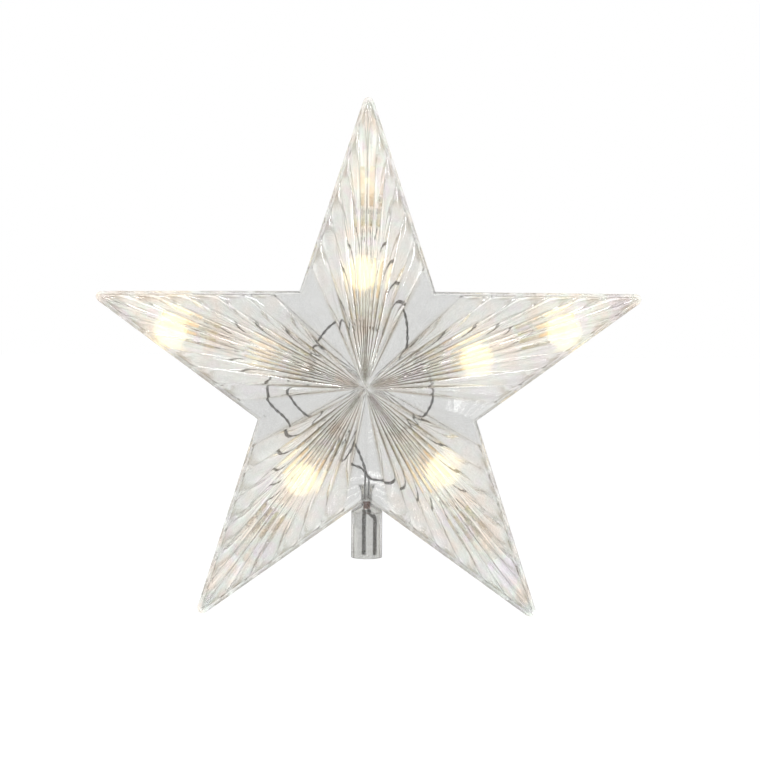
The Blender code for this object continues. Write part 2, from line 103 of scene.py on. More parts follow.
# Socket tube
TUBE_RADIUS = 0.00635
TUBE_WALL = 0.0012
TUBE_EDGE = 0.0003  # round or bevelled edges of the tube and its sleeve
TUBE_SHARP_DEGREES = 30
NECK_RADIUS = 0.0025
FLARE_RISE = 0.0026
NOTCH_CLEARANCE = 0.0003
SLEEVE_RADIUS = 0.0015
SLEEVE_LENGTH = 0.0032
SLEEVE_PROUD = 0.0012

# Turned pieces
ROUND_SEGMENTS = 64
EDGE_STEPS = 4
DOME_STEPS = 10
SHARP_DEGREES = 35

# Lamps, holders and cradles
LAMP_BASE_REACH = {"inner": 0.0275, "outer": 0.0645}
# Lit lamps, and how far across its arm the flutes shift each one's painted pale disc and glow
BRIGHT_LAMPS = {
    "top_inner": -0.0020,
    "left_outer": -0.0045,
    "right_inner": 0.0034,
    "right_outer": 0.0032,
    "lower_left_inner": -0.0012,
    "lower_right_inner": -0.0060,
}
FAINT_LAMPS = {"top_outer": 0.0, "left_inner": -0.0050}
HOLDER_RADIUS = 0.0032
HOLDER_LENGTH = 0.0120
HOLDER_CHAMFER = 0.0002
HOLDER_RING = (0.0048, 0.0072)  # foot and head of the shallow groove round a holder
HOLDER_RING_DEPTH = 0.0003
HOLDER_RING_SLOPE = 0.0004
COLLAR_RADIUS = 0.0038
COLLAR_LENGTH = 0.0030
SOCKET_DEPTH = 0.0040
STEM_RADIUS = 0.0023
BULB_RADIUS = 0.0035
BULB_LENGTH = 0.0120
BULB_SHOULDER = 0.0010
BULB_DOME = 0.0042
LAMP_EDGE = 0.0004  # round edges of the holders and bevel of the bulbs' shoulders
CRADLE_THICKNESS = 0.0022
CRADLE_CHEEK = 0.0009
CRADLE_STEPS = 16

# Wires and leads
WIRE_DIAMETER = 0.0012
WIRE_SPACING = 0.0020
WIRE_PITCH = 0.0062
WIRE_STEP = 0.0005
LEAD_DIAMETER = 0.0017
LEAD_ANGLES = (110.0, 33.0)
LEAD_END = 0.0014
LEAD_STRAIGHT = 0.0010
LEAD_BEND = 0.0030
STRAND_RADIUS = 0.00030
STRAND_SIDES = 10
STRAND_SHARP_DEGREES = 50
SUPPLY_PARTING = 0.0010  # each supply strand from the neck's axis
SUPPLY_MEETING = (-0.0008, -0.0350, 0.0012)  # x, z and y from the hub, where the strands begin to twist

# Finishes
CLEARNESS = 0.93  # share of the light that goes through clear plastic
CLEAR_BENDING = 1.49  # of light, in a solid wall
THIN_WALL_BENDING = 1.2  # of light, in the hollow holders and the unlit bulbs
CLEAR_WAVE_DEPTH = 0.0004
HAZE_SCALE = 5000  # specks per metre that scatter a little light in the clear plastic
HAZE_ROUGHNESS = ((0.68, 0.01), (0.72, 0.50))  # (level of the speck pattern, roughness)
COVER_WAVE_DEPTH = 0.0002
COVER_WAVE_STRENGTH = 0.25
PATCH_LEVELS = (0.3, 0.7)  # of a cover's pattern, where its dark patches end and its light ones begin
GLOSS_SPREAD = 0.08
TUBE_COLOUR = (0.80, 0.80, 0.785)
WIRE_COLOURS = ((0.040, 0.033, 0.027), (0.11, 0.095, 0.08))
LEAD_COLOURS = ((0.10, 0.09, 0.075), (0.20, 0.18, 0.15))
SLEEVE_COLOURS = ((0.20, 0.070, 0.040), (0.30, 0.12, 0.075))
# A lamp holder, olive at the foot that the wires go into: (share of its length, colour)
HOLDER_COLOURS = (
    (0.0, (0.68, 0.64, 0.40)),
    (0.30, (0.85, 0.80, 0.66)),
    (0.50, (0.93, 0.88, 0.80)),
    (1.0, (0.95, 0.91, 0.85)),
)
BULB_COLOUR = (1.0, 0.93, 0.78)
BULB_ROUGHNESS = 0.2
UNLIT_COLOUR = (0.95, 0.94, 0.91)
# A lamp's glow from its stem to its tip: (share of its length, colour)
GLOW_COLOURS = (
    (0.0, (0.95, 0.60, 0.28)),
    (0.35, (1.0, 0.76, 0.38)),
    (0.6, (1.0, 0.78, 0.40)),
    (1.0, (1.0, 0.70, 0.32)),
)

# Painted glow on the shells, given off as emission for the lamp light scattered in them
PAINTED_DISC_RADIUS = 0.0059  # of the pale disc painted round a lit lamp
DISC_CLEARING = (0.7, 1.5)  # in disc radii, where the grooves' painted shade begins to show again and where it shows in full
# (distance from the nearest lit bulb's middle, colour)
PAINTED_GLOW_COLOURS = (
    (0.0, (1.0, 0.79, 0.34)),
    (PAINTED_DISC_RADIUS, (1.0, 0.80, 0.36)),
    (PAINTED_DISC_RADIUS * 1.3, (0.24, 0.185, 0.10)),
    (0.0200, (0.10, 0.065, 0.022)),
    (0.0600, (0.04, 0.026, 0.012)),
)
PAINTED_GLOW_STRENGTH = 0.42
PAINTED_RIM_GLOW_COLOUR = (0.36, 0.36, 0.35)  # of the painted glow where the lamp light leaves the rim
EDGE_LOSS = 0.9  # how much less of it the flutes near the notches carry
FAINT_OFFSET = 0.0060  # how much farther off a faint lamp counts

# Camera, from the photograph's 760 px frame
IMAGE_WIDTH = 760
PIXEL = 0.0004088  # metres at the star's plane
HUB_PIXEL = (367.4, 384.3)
CAMERA_DISTANCE = 1.0
CAMERA_AZIMUTH = 2.0
CAMERA_ELEVATION = 3.8
CAMERA_ROLL = 0.3
CAMERA_SIGHT = 50.0
SENSOR_WIDTH = 36.0

# Studio
ROOM_COLOUR = (0.95, 0.97, 1.0)
ROOM_LIGHT = 0.55
# The room as the plastic shows it, from its sides to straight through: (a ray's share along Y, colour)
STUDIO_COLOURS = (
    (0.0, (0.80, 0.80, 0.79)),
    (0.18, (0.70, 0.69, 0.67)),
    (0.30, (0.45, 0.44, 0.40)),
    (0.62, (0.45, 0.43, 0.39)),
    (0.76, (1.0, 0.98, 0.95)),
    (0.88, (1.48, 1.47, 1.44)),
    (0.96, (1.48, 1.48, 1.47)),
    (0.99, (1.0, 1.0, 1.0)),
)
GLASS_LIGHT = 1.5  # those colours are divided by this, to fit a ramp that ends at 1, and then lit by it
CEILING_SHARE = 0.05  # of that light straight overhead
FLOOR_SIZE = 6.0
FLOOR_DROP = 0.26  # the floor below the tube's mouth: the topper is held up by its socket
FLOOR_COLOUR = (0.9, 0.9, 0.9)
FLOOR_ROUGHNESS = 0.9
# What each kind of ray sees of the floor: (kind, level of white, its share over the paint)
FLOOR_RAYS = (
    ("Is Camera Ray", 1.26, 0.7),
    ("Is Glossy Ray", 0.4, 1.0),
    ("Is Transmission Ray", 0.95, 1.0),  # last, because a ray through glass counts as glossy too
)
# (name, place, width and height, watts)
SOFTBOXES = (
    ("key_softbox", (-0.7, -0.9, 0.9), (0.28, 0.28), 9.0),
    ("fill_softbox", (0.7, -0.9, 0.8), (0.25, 0.25), 6.0),
    ("top_softbox", (0.0, 0.3, 1.1), (0.8, 0.5), 7.0),
)

# Values that follow from the ones above
HALF_PITCH = math.pi / len(ARM_NAMES)
RIM_EDGE = math.sqrt(
    TIP_RADIUS**2 + NOTCH_RADIUS**2 - 2 * TIP_RADIUS * NOTCH_RADIUS * math.cos(HALF_PITCH)
)
FACE_REACH = TIP_RADIUS * NOTCH_RADIUS * math.sin(HALF_PITCH) / RIM_EDGE
RIM_NORMAL = math.acos(FACE_REACH / TIP_RADIUS)
FACE_SLOPE = PEAK_RISE / FACE_REACH
WALL_RISE = WALL * math.sqrt(1 + FACE_SLOPE**2)
LIP_INSET = WALL + SEAT_GAP
LIP_INNER_INSET = LIP_INSET + LIP_WALL
LIP_HEIGHT = RIM_BAND + FACE_SLOPE * LIP_INSET - WALL_RISE - SEAT_GAP
NOTCH_SLOPE = (TIP_RADIUS * math.cos(HALF_PITCH) - NOTCH_RADIUS) / (TIP_RADIUS * math.sin(HALF_PITCH))
NECK_BORE_RADIUS = SLEEVE_RADIUS + SEAT_GAP
ROOF_RISE = TUBE_WALL * math.sqrt(1 + NOTCH_SLOPE**2)
ARM_ANGLE = {name: 2 * HALF_PITCH * index for index, name in enumerate(ARM_NAMES)}
HUB = Vector((0, 0, STAR_HEIGHT))
BULB_MIDDLE = HOLDER_LENGTH + SEAT_GAP + BULB_LENGTH / 2


# Materials


def insides(material):
    """A material's nodes, its links and its Principled shader."""
    nodes, links = material.node_tree.nodes, material.node_tree.links
    return nodes, links, nodes["Principled BSDF"]


def new_material(name):
    """A material and its insides."""
    material = bpy.data.materials.new(name)
    material.use_nodes = True
    return material, *insides(material)


def set_inputs(node, values):
    """Gives a node's inputs their values by name, and gives the node back."""
    for name, value in values.items():
        node.inputs[name].default_value = value
    return node


def moulding_waves(nodes, links, shader, scale, strength, depth):
    """Fine bump, as a moulded or drawn surface has; gives its pattern, for colour or gloss to follow."""
    place = nodes.new("ShaderNodeTexCoord")
    noise = set_inputs(nodes.new("ShaderNodeTexNoise"), {"Scale": scale, "Detail": 3.0})
    bump = set_inputs(nodes.new("ShaderNodeBump"), {"Strength": strength, "Distance": depth})
    links.new(place.outputs["Object"], noise.inputs["Vector"])
    links.new(noise.outputs["Fac"], bump.inputs["Height"])
    links.new(bump.outputs["Normal"], shader.inputs["Normal"])
    return noise


def ranged(nodes, links, source, low, high, socket):
    """Drives a shader socket from a 0 to 1 pattern, between two values."""
    spread = set_inputs(nodes.new("ShaderNodeMapRange"), {"To Min": low, "To Max": high})
    links.new(source, spread.inputs["Value"])
    links.new(spread.outputs["Result"], socket)


def tinted(nodes, links, source, stops, socket):
    """Drives a colour socket from a 0 to 1 pattern, by (place, colour) stops."""
    ramp = nodes.new("ShaderNodeValToRGB")
    ramp.color_ramp.elements[0].position = stops[0][0]
    ramp.color_ramp.elements[0].color = (*stops[0][1], 1)
    ramp.color_ramp.elements[1].position = stops[-1][0]
    ramp.color_ramp.elements[1].color = (*stops[-1][1], 1)
    for place, colour in stops[1:-1]:
        ramp.color_ramp.elements.new(place).color = (*colour, 1)
    links.new(source, ramp.inputs["Fac"])
    links.new(ramp.outputs["Color"], socket)


def clear_plastic(name, tint, wave_scale, wave_strength, bending=CLEAR_BENDING):
    """Clear moulded plastic with a few dull specks."""
    material, nodes, links, shader = new_material(name)
    set_inputs(shader, {"Base Color": (*tint, 1), "Transmission Weight": CLEARNESS, "IOR": bending})
    waves = moulding_waves(nodes, links, shader, wave_scale, wave_strength, CLEAR_WAVE_DEPTH)
    haze = set_inputs(nodes.new("ShaderNodeTexNoise"), {"Scale": HAZE_SCALE, "Detail": 0.0})
    links.new(waves.inputs["Vector"].links[0].from_socket, haze.inputs["Vector"])
    specks = [(level, (roughness,) * 3) for level, roughness in HAZE_ROUGHNESS]
    tinted(nodes, links, haze.outputs["Fac"], specks, shader.inputs["Roughness"])
    return material


def thin_plastic(name, tint):
    """The thin walls of the holders and the unlit bulbs, which bend light less than a solid wall does."""
    return clear_plastic(name, tint, wave_scale=500, wave_strength=0.1, bending=THIN_WALL_BENDING)


def combined(nodes, links, operation, first, second):
    """The output of a maths node fed by two sockets or numbers."""
    node = nodes.new("ShaderNodeMath")
    node.operation = operation
    for socket, value in zip(node.inputs, (first, second)):
        if isinstance(value, float):
            socket.default_value = value
        else:
            links.new(value, socket)
    return node.outputs["Value"]


def distance_to_lamp(nodes, links):
    """How far a place in the shells lies from the nearest lit bulb's middle, seen from the front."""
    place = nodes.new("ShaderNodeTexCoord")
    flat = nodes.new("ShaderNodeVectorMath")
    flat.operation = "MULTIPLY"
    flat.inputs[1].default_value = (1, 0, 1)
    links.new(place.outputs["Object"], flat.inputs[0])
    nearest = 1.0  # farther off than any place in the part
    for spot, across in (BRIGHT_LAMPS | FAINT_LAMPS).items():
        arm, _, row = spot.rpartition("_")
        away = nodes.new("ShaderNodeVectorMath")
        away.operation = "DISTANCE"
        away.inputs[1].default_value = HUB + arm_point(arm, LAMP_BASE_REACH[row] + BULB_MIDDLE, across)
        links.new(flat.outputs["Vector"], away.inputs[0])
        offset = FAINT_OFFSET if spot in FAINT_LAMPS else 0.0
        counted = combined(nodes, links, "ADD", away.outputs["Value"], offset)
        nearest = combined(nodes, links, "MINIMUM", counted, nearest)
    return nearest


def attribute(nodes, name):
    node = nodes.new("ShaderNodeAttribute")
    node.attribute_name = name
    return node.outputs["Fac"]


def colour_mix(nodes, blend="MIX"):
    """A new mix of two colours: the sockets for its share, its first and second colour, and its result."""
    node = nodes.new("ShaderNodeMix")
    node.data_type = "RGBA"
    node.blend_type = blend
    return node.inputs[0], node.inputs[6], node.inputs[7], node.outputs[2]


def tint_flutes(nodes, links, distance, socket):
    """Drives a colour socket by the flutes' painted shade, which a lamp's painted pale disc washes out, and a
    faint painted rainbow.
    """
    begin, end = (PAINTED_DISC_RADIUS * share for share in DISC_CLEARING)
    unlit = set_inputs(nodes.new("ShaderNodeMapRange"), {"From Min": begin, "From Max": end})
    links.new(distance, unlit.inputs["Value"])
    shade = combined(nodes, links, "MULTIPLY", attribute(nodes, "shade"), unlit.outputs["Result"])
    place = nodes.new("ShaderNodeTexCoord")
    rainbow = set_inputs(nodes.new("ShaderNodeTexNoise"), {"Scale": PAINTED_RAINBOW_SCALE, "Detail": 1.0})
    links.new(place.outputs["Object"], rainbow.inputs["Vector"])
    # the painted rainbow shows as much as the "fluted" attribute lets it
    share, shaded, pastel, result = colour_mix(nodes, "MULTIPLY")
    links.new(attribute(nodes, "fluted"), share)
    tinted(nodes, links, shade, PAINTED_SHADE_COLOURS, shaded)
    tinted(nodes, links, rainbow.outputs["Fac"], PAINTED_RAINBOW, pastel)
    links.new(result, socket)


def paint_lamp_glow(nodes, links, distance, shader):
    """Paints a glow on the flutes and the rim, as emission, for the lamp light that is scattered in them."""
    farthest = PAINTED_GLOW_COLOURS[-1][0]
    stops = [(away / farthest, colour) for away, colour in PAINTED_GLOW_COLOURS]
    # the "edge" attribute marks the rim, which gets the painted rim glow colour
    share, inside, rim, result = colour_mix(nodes)
    rim.default_value = (*PAINTED_RIM_GLOW_COLOUR, 1)
    links.new(attribute(nodes, "edge"), share)
    tinted(nodes, links, combined(nodes, links, "DIVIDE", distance, farthest), stops, inside)
    links.new(result, shader.inputs["Emission Color"])
    # the "fluted" and "edge" attributes set how much painted glow a place gives off
    carried = combined(nodes, links, "MAXIMUM", attribute(nodes, "fluted"), attribute(nodes, "edge"))
    links.new(combined(nodes, links, "MULTIPLY", carried, PAINTED_GLOW_STRENGTH), shader.inputs["Emission Strength"])


def fluted_plastic(name):
    """The shells' clear plastic: painted shade in the grooves, pale crests, and a painted glow for the lamp
    light that scatters in the flutes.
    """
    material = clear_plastic(name, PANE_COLOUR, wave_scale=60, wave_strength=0.05)
    nodes, links, shader = insides(material)
    distance = distance_to_lamp(nodes, links)
    tint_flutes(nodes, links, distance, shader.inputs["Base Color"])
    paint_lamp_glow(nodes, links, distance, shader)
    return material


def holder_plastic(name):
    """The lamp holders' pale plastic, olive at the foot that the wires go into."""
    material = thin_plastic(name, HOLDER_COLOURS[-1][1])
    nodes, links, shader = insides(material)
    tinted(nodes, links, attribute(nodes, "along"), HOLDER_COLOURS, shader.inputs["Base Color"])
    return material


def covered(name, colours, roughness, wave_scale):
    """A wire's plastic cover or a rubber sleeve, in slightly darker and lighter patches."""
    material, nodes, links, shader = new_material(name)
    noise = moulding_waves(nodes, links, shader, wave_scale, COVER_WAVE_STRENGTH, COVER_WAVE_DEPTH)
    patches = list(zip(PATCH_LEVELS, colours))
    tinted(nodes, links, noise.outputs["Fac"], patches, shader.inputs["Base Color"])
    least, most = roughness - GLOSS_SPREAD, roughness + GLOSS_SPREAD
    ranged(nodes, links, noise.outputs["Fac"], least, most, shader.inputs["Roughness"])
    return material


def lamp_glow(name, strength, warmth):
    """A lamp's glow: whitest round its filament, warmer towards its stem and its tip."""
    material, nodes, links, shader = new_material(name)
    set_inputs(shader, {"Base Color": (*BULB_COLOUR, 1), "Roughness": BULB_ROUGHNESS})
    set_inputs(shader, {"Emission Strength": strength})
    stops = [(place, tuple(1 - warmth * (1 - part) for part in colour)) for place, colour in GLOW_COLOURS]
    tinted(nodes, links, attribute(nodes, "along"), stops, shader.inputs["Emission Color"])
    return material


# Star geometry


def outline_radius(off_axis, inset):
    """Hub to the rounded star outline, inset square to its edges, on the ray this far off an arm's axis."""
    reach = FACE_REACH - inset
    rounding = max(min(TIP_ROUND - inset, reach / 2), min(LEAST_ROUND, reach / 4))
    centre = (reach - rounding) / math.cos(RIM_NORMAL)
    tangent = math.atan2(rounding * math.sin(RIM_NORMAL), centre + rounding * math.cos(RIM_NORMAL))
    if off_axis < tangent:
        return centre * math.cos(off_axis) + math.sqrt(rounding**2 - (centre * math.sin(off_axis)) ** 2)
    return reach / math.cos(RIM_NORMAL - off_axis)


def face_height(radius, off_axis):
    """The unfluted outer face's distance from the seam plane."""
    return RIM_BAND + FACE_SLOPE * (FACE_REACH - radius * math.cos(RIM_NORMAL - off_axis))


def inner_height(x, z):
    """The inner face's distance from the seam plane, at a place given from the hub."""
    off_axis = math.atan2(x, z) % (2 * HALF_PITCH)
    return face_height(math.hypot(x, z), min(off_axis, 2 * HALF_PITCH - off_axis)) - WALL_RISE


def rim_columns():
    """(angle, off_axis, flute share, share of the painted lamp glow and painted rainbow) of each ray that
    shell points lie on.
    """
    half = []
    for division in range(RIM_DIVISIONS):
        plain = division == RIM_DIVISIONS - 1
        steps = PLAIN_STEPS if plain else FLUTE_STEPS
        for step in range(steps):
            place = step / steps if plain else (1 - math.cos(math.pi * step / steps)) / 2
            along = (division + place) / RIM_DIVISIONS
            across = along * NOTCH_RADIUS * math.sin(HALF_PITCH)
            out = TIP_RADIUS + along * (NOTCH_RADIUS * math.cos(HALF_PITCH) - TIP_RADIUS)
            share = 0.0 if plain else math.sin(math.pi * place) ** FLUTE_ROUNDNESS
            fluted = 1 - EDGE_LOSS * along if not plain or step == 0 else 0.0
            half.append((math.atan2(across, out), share, fluted))
    columns = []
    for angle in ARM_ANGLE.values():
        columns += [(angle + off, off, share, fluted) for off, share, fluted in half]
        columns.append((angle + HALF_PITCH, HALF_PITCH, 0.0, 0.0))
        columns += [(angle + 2 * HALF_PITCH - off, off, share, fluted) for off, share, fluted in half[:0:-1]]
    return columns


def painted_groove_shade(share, radius):
    """How much painted shade a place at this share of a flute's rise gets: the grooves' painted shade is wide
    and dark near the hub.
    """
    near, far = GROOVE_FADE
    away = min(max((radius - near) / (far - near), 0), 1)
    width = GROOVE_WIDTHS[0] + (GROOVE_WIDTHS[1] - GROOVE_WIDTHS[0]) * away
    dark = min(width * (1 - share) ** GROOVE_SHARPNESS, 1)
    return dark * (1 - (1 - GROOVE_LEAST) * away) * min(radius / GROOVE_CENTRE, 1) ** 2


def flute_rows():
    """(inset, flute amount, painted end shade) of each row of points, from the hub to the rim.

    A flute grows as its sector widens, and ends round before the rim.
    """
    flute_end = FACE_REACH - FLUTE_RIM_MARGIN - FLUTE_END_LENGTH
    rows = []
    for step in range(FLUTE_ROWS):
        growth = (step / FLUTE_ROWS) ** ROW_CROWDING
        reach = FLUTE_HUB_REACH + (flute_end - FLUTE_HUB_REACH) * growth
        rows.append((FACE_REACH - reach, growth**FLUTE_GROWTH, 0.0))
    for step in range(FLUTE_END_ROWS + 1):
        angle = math.pi / 2 * step / FLUTE_END_ROWS
        inset = FACE_REACH - flute_end - FLUTE_END_LENGTH * math.sin(angle)
        rows.append((inset, math.cos(angle), FLUTE_END_PAINTED_SHADE * math.sin(2 * angle)))
    return rows


# Mesh helpers


def linked(name, data):
    """A new object in the scene that shows this mesh, curve, light or camera."""
    thing = bpy.data.objects.new(name, data)
    bpy.context.scene.collection.objects.link(thing)
    return thing


def mesh_from(name, shape):
    """A new mesh of a shape, which is used up."""
    mesh = bpy.data.meshes.new(name)
    shape.to_mesh(mesh)
    shape.free()
    return mesh


def smoothed(mesh, sharp_degrees):
    """The mesh, shaded smooth except across edges sharper than this."""
    mesh.shade_smooth()
    mesh.set_sharp_from_angle(angle=math.radians(sharp_degrees))
    return mesh


def finished_mesh(name, shape, sharp_degrees):
    bmesh.ops.recalc_face_normals(shape, faces=shape.faces)
    return smoothed(mesh_from(name, shape), sharp_degrees)


def new_piece(name, mesh, material, body, slot, *nodes):
    """A piece at the origin that rides on a body and stands for the given solids."""
    piece = linked(name, mesh)
    if not mesh.materials:
        mesh.materials.append(material)
    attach(piece, body)
    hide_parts(*nodes)


def join_rings(shape, first, second):
    for index in range(len(first)):
        after = (index + 1) % len(first)
        shape.faces.new((first[index], first[after], second[after], second[index]))


def close_ring(shape, ring, peak):
    for index in range(len(ring)):
        shape.faces.new((ring[index], ring[(index + 1) % len(ring)], peak))


def lathe(name, profile, matrix, sharp_degrees=SHARP_DEGREES, ring=False):
    """A turned mesh about Z from (radius, height) points, placed by a matrix; 'along' keeps its height."""
    shape = bmesh.new()
    along = shape.verts.layers.float.new("along")
    low = min(height for _, height in profile)
    high = max(height for _, height in profile)
    rows = []
    for radius, height in profile:
        if radius == 0:
            row = [shape.verts.new((0, 0, height))]
        else:
            row = []
            for step in range(ROUND_SEGMENTS):
                angle = 2 * math.pi * step / ROUND_SEGMENTS
                row.append(shape.verts.new((radius * math.cos(angle), radius * math.sin(angle), height)))
        for vertex in row:
            vertex[along] = (height - low) / (high - low)
        rows.append(row)
    pairs = list(zip(rows, rows[1:]))
    if ring:
        pairs.append((rows[-1], rows[0]))
    for first, second in pairs:
        if len(first) == 1:
            close_ring(shape, second, first[0])
        elif len(second) == 1:
            close_ring(shape, first, second[0])
        else:
            join_rings(shape, first, second)
    bmesh.ops.transform(shape, matrix=matrix, verts=shape.verts)
    return finished_mesh(name, shape, sharp_degrees)


def arc(centre, radius, start_degrees, end_degrees, steps):
    """(radius, height) points of an arc in a turned profile."""
    points = []
    for step in range(steps + 1):
        angle = math.radians(start_degrees + (end_degrees - start_degrees) * step / steps)
        points.append((centre[0] + radius * math.cos(angle), centre[1] + radius * math.sin(angle)))
    return points


def tree_with(name, sockets):
    """A Geometry Nodes tree with a geometry input and output and the named inputs."""
    tree = bpy.data.node_groups.new(name, "GeometryNodeTree")
    tree.interface.new_socket("Geometry", in_out="INPUT", socket_type="NodeSocketGeometry")
    for socket, kind in sockets:
        tree.interface.new_socket(socket, in_out="INPUT", socket_type=kind)
    tree.interface.new_socket("Geometry", in_out="OUTPUT", socket_type="NodeSocketGeometry")
    return tree, tree.nodes.new("NodeGroupInput"), tree.nodes.new("NodeGroupOutput")


def mesh_by_tree(name, data, tree, values):
    """The plain mesh that a tree makes from a mesh or a curve."""
    source = linked(name, data)
    modifier = source.modifiers.new(tree.name, "NODES")
    modifier.node_group = tree
    for item in tree.interface.items_tree:
        if item.in_out == "INPUT" and item.name in values:
            modifier[item.identifier] = values[item.name]
    graph = bpy.context.evaluated_depsgraph_get()
    mesh = bpy.data.meshes.new_from_object(source.evaluated_get(graph))
    mesh.name = name
    bpy.data.objects.remove(source)
    return mesh


def finish_tree(tree, geometry, material, made):
    """Ends a tree: its points made real and painted."""
    realize = tree.nodes.new("GeometryNodeRealizeInstances")
    paint = tree.nodes.new("GeometryNodeSetMaterial")
    tree.links.new(geometry, realize.inputs["Geometry"])
    tree.links.new(realize.outputs["Geometry"], paint.inputs["Geometry"])
    tree.links.new(material, paint.inputs["Material"])
    tree.links.new(paint.outputs["Geometry"], made.inputs["Geometry"])
    return tree


def flute_tree():
    """Lifts each point along Y by its own flute amount times the flute's rise."""
    sockets = (("Rise", "NodeSocketFloat"), ("Plastic", "NodeSocketMaterial"))
    tree, given, made = tree_with("raise_flutes", sockets)
    nodes, links = tree.nodes, tree.links
    amount = nodes.new("GeometryNodeInputNamedAttribute")
    amount.data_type = "FLOAT"
    amount.inputs["Name"].default_value = "flute"
    lift = combined(nodes, links, "MULTIPLY", amount.outputs["Attribute"], given.outputs["Rise"])
    offset = nodes.new("ShaderNodeCombineXYZ")
    move = nodes.new("GeometryNodeSetPosition")
    links.new(lift, offset.inputs["Y"])
    links.new(given.outputs["Geometry"], move.inputs["Geometry"])
    links.new(offset.outputs["Vector"], move.inputs["Offset"])
    return finish_tree(tree, move.outputs["Geometry"], given.outputs["Plastic"], made)


def strand_tree():
    """Sweeps round strands along a route, twisted about each other; one strand when the spread is zero."""
    numbers = ("Strand radius", "Spread", "Turns per metre", "Step")
    sockets = [(name, "NodeSocketFloat") for name in numbers] + [("Cover", "NodeSocketMaterial")]
    tree, given, made = tree_with("twist_strands", sockets)
    nodes, links = tree.nodes, tree.links
    even = nodes.new("GeometryNodeResampleCurve")
    even.mode = "LENGTH"
    place = nodes.new("GeometryNodeSplineParameter")
    turns = combined(nodes, links, "MULTIPLY", place.outputs["Length"], given.outputs["Turns per metre"])
    tilt = nodes.new("GeometryNodeSetCurveTilt")
    circle = nodes.new("GeometryNodeCurvePrimitiveCircle")
    circle.mode = "RADIUS"
    circle.inputs["Resolution"].default_value = STRAND_SIDES
    strands = nodes.new("GeometryNodeJoinGeometry")
    for side in (-1.0, 1.0):
        offset = nodes.new("ShaderNodeCombineXYZ")
        moved = nodes.new("GeometryNodeTransform")
        links.new(combined(nodes, links, "MULTIPLY", given.outputs["Spread"], side), offset.inputs["X"])
        links.new(circle.outputs["Curve"], moved.inputs["Geometry"])
        links.new(offset.outputs["Vector"], moved.inputs["Translation"])
        links.new(moved.outputs["Geometry"], strands.inputs["Geometry"])
    sweep = nodes.new("GeometryNodeCurveToMesh")
    sweep.inputs["Fill Caps"].default_value = True
    links.new(given.outputs["Geometry"], even.inputs["Curve"])
    links.new(given.outputs["Step"], even.inputs["Length"])
    links.new(even.outputs["Curve"], tilt.inputs["Curve"])
    links.new(combined(nodes, links, "MULTIPLY", turns, 2 * math.pi), tilt.inputs["Tilt"])
    links.new(given.outputs["Strand radius"], circle.inputs["Radius"])
    links.new(tilt.outputs["Curve"], sweep.inputs["Curve"])
    links.new(strands.outputs["Geometry"], sweep.inputs["Profile Curve"])
    return finish_tree(tree, sweep.outputs["Mesh"], given.outputs["Cover"], made)


# Half shells


def add_ring(shape, columns, side, inset, height, amount=0.0, end=0.0, edge=0.0, layers=None):
    """One ring of shell points; height is a function of (radius, off_axis).

    The layers of an outer ring keep how far a point is raised, its painted shade, and the painted glow it
    gives off.
    """
    ring = []
    for angle, off_axis, share, fluted in columns:
        radius = outline_radius(off_axis, inset)
        place = Vector((radius * math.sin(angle), side * height(radius, off_axis), radius * math.cos(angle)))
        vertex = shape.verts.new(place + HUB)
        if layers:
            off_middle = (1 - fluted) / EDGE_LOSS
            groove = painted_groove_shade(share, radius) * (1 - GROOVE_SIDE_LOSS * off_middle**SHADE_FOCUS)
            shade = max(groove, end * share**SHADE_FOCUS, PANE_SHADE * off_middle)
            vertex[layers["flute"]] = side * amount * share
            vertex[layers["shade"]] = shade if fluted else PANE_SHADE
            vertex[layers["fluted"]] = fluted
            vertex[layers["edge"]] = edge
        ring.append(vertex)
    return ring


def inside_face(radius, off_axis):
    return face_height(radius, off_axis) - WALL_RISE


def seam_face(*_):
    return SEAT_GAP / 2


def lip_top(*_):
    return -LIP_HEIGHT


def half_fillet(radius, off_axis):
    return face_height(radius, off_axis) - RIM_FILLET * FILLET_MIDDLE[1]


def filleted_rim(radius, off_axis):
    return face_height(radius, off_axis) - RIM_FILLET


def half_shell_mesh(name, side, inner_rings, tree, plastic):
    """A hollow fluted half star, its flutes raised by the tree."""
    columns = rim_columns()
    shape = bmesh.new()
    layers = {layer: shape.verts.layers.float.new(layer) for layer in ("flute", "shade", "fluted", "edge")}
    peak = RIM_BAND + PEAK_RISE
    rings = []
    for inset, amount, end in flute_rows():
        rings.append(add_ring(shape, columns, side, inset, face_height, amount, end, layers=layers))
    rim_rings = (
        (RIM_FILLET, face_height),
        (RIM_FILLET * FILLET_MIDDLE[0], half_fillet),
        (0.0, filleted_rim),
        (0.0, seam_face),
    )
    # the rim's rings carry the painted rim glow
    for inset, height in rim_rings:
        rings.append(add_ring(shape, columns, side, inset, height, edge=1.0, layers=layers))
    rings += [add_ring(shape, columns, side, inset, height) for inset, height in inner_rings]
    close_ring(shape, rings[0], shape.verts.new(HUB + Vector((0, side * peak, 0))))
    for first, second in zip(rings, rings[1:]):
        join_rings(shape, first, second)
    close_ring(shape, rings[-1], shape.verts.new(HUB + Vector((0, side * (peak - WALL_RISE), 0))))
    bmesh.ops.recalc_face_normals(shape, faces=shape.faces)
    base = mesh_from(name + "_base", shape)
    mesh = mesh_by_tree(name, base, tree, {"Rise": FLUTE_RISE, "Plastic": plastic})
    return smoothed(mesh, SHELL_SHARP_DEGREES)


def arm_point(arm, along, across, y=0.0):
    """A place in an arm, from the hub: along its axis, across it clockwise, and along Y."""
    angle = ARM_ANGLE[arm]
    x = along * math.sin(angle) + across * math.cos(angle)
    z = along * math.cos(angle) - across * math.sin(angle)
    return Vector((x, y, z))


